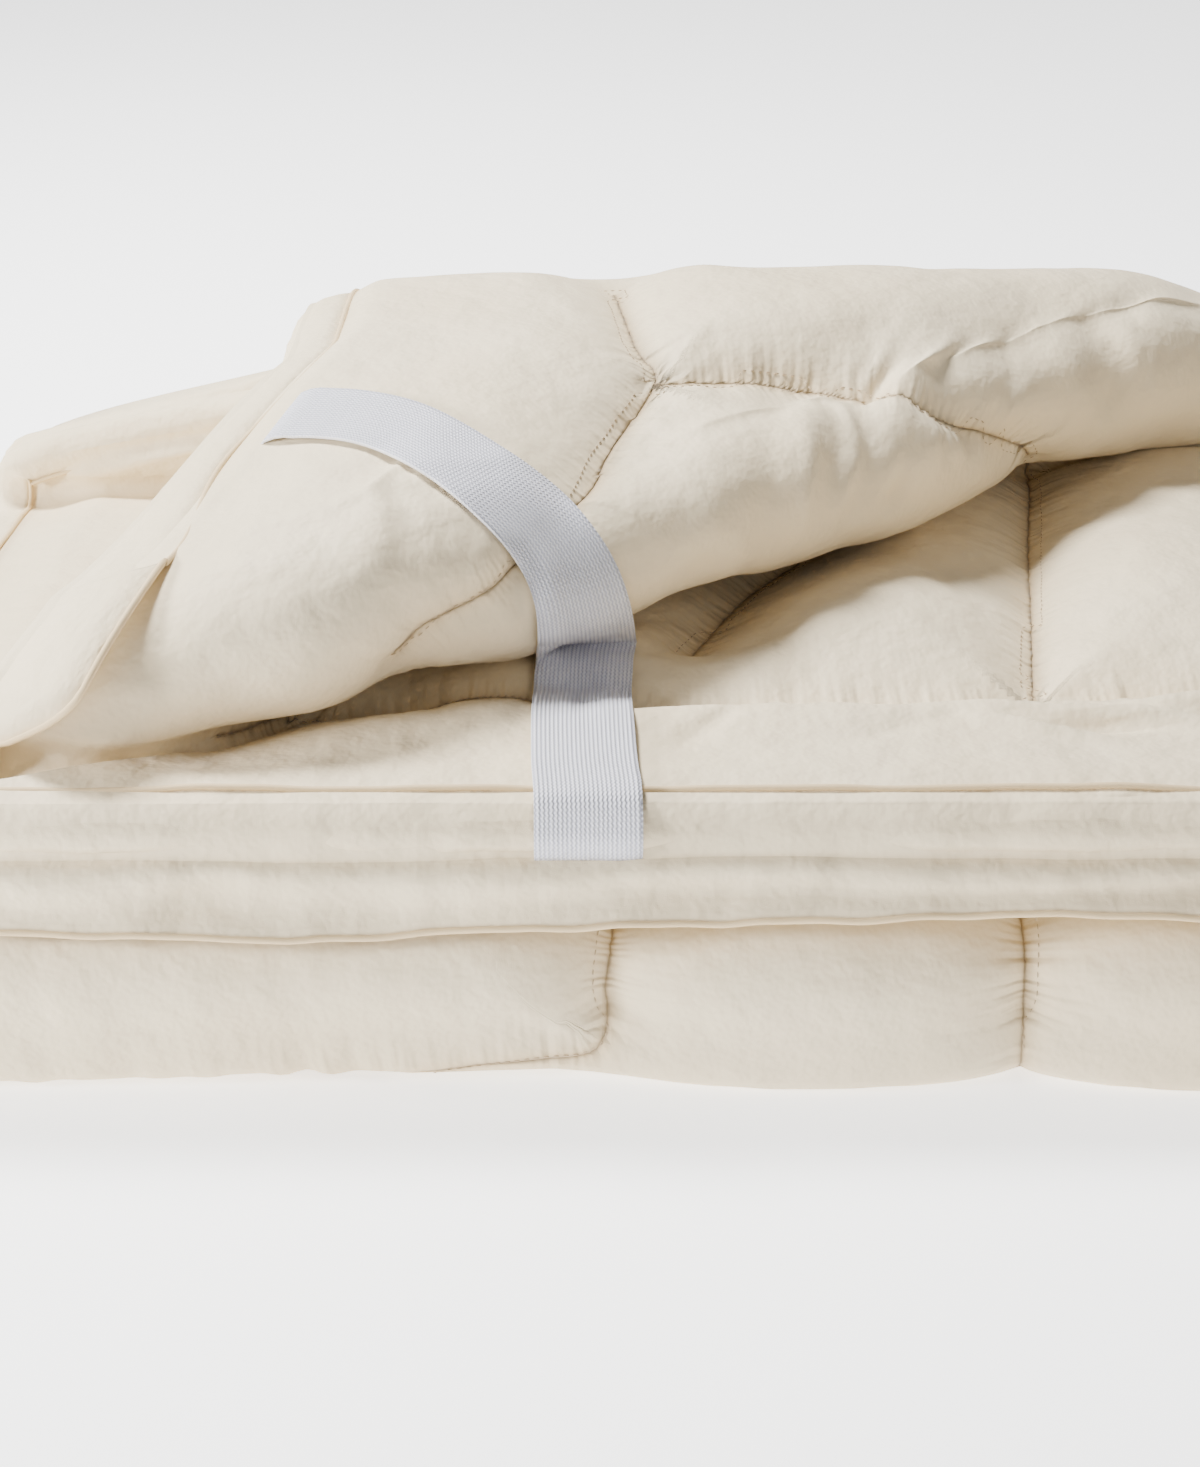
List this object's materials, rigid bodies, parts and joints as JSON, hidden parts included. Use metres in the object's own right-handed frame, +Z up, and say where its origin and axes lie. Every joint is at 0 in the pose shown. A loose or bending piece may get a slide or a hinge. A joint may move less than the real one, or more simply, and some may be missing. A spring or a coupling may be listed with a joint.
{
  "type": "folded mattress topper",
  "caption": "Filled and quilted mattress topper with corded border and an elastic corner strap, folded in a stack with a slanting top pleat.",
  "frame": {"origin": "middle of the object's box, at the surface it rests on", "axes": "+X along the fold lines from the strapped corner's side to the far side, +Y from the bottom fold and front border to the back, +Z up"},
  "size_m": [1.0497, 0.5404, 0.2375],
  "materials": {
    "pad_cloth": "cream cotton sateen, soft matte with a faint sheen",
    "border_cloth": "plain cream cotton, matte",
    "cord_cloth": "cream cotton cord, matte",
    "strap_elastic": "cool white knitted elastic with fine lengthwise ribs"
  },
  "bodies": {
    "root": {"quilted_pad": "pad_cloth", "boxing_band": "border_cloth", "piping_upper": "cord_cloth", "piping_lower": "cord_cloth", "corner_strap": "strap_elastic"}
  },
  "joints": []
}
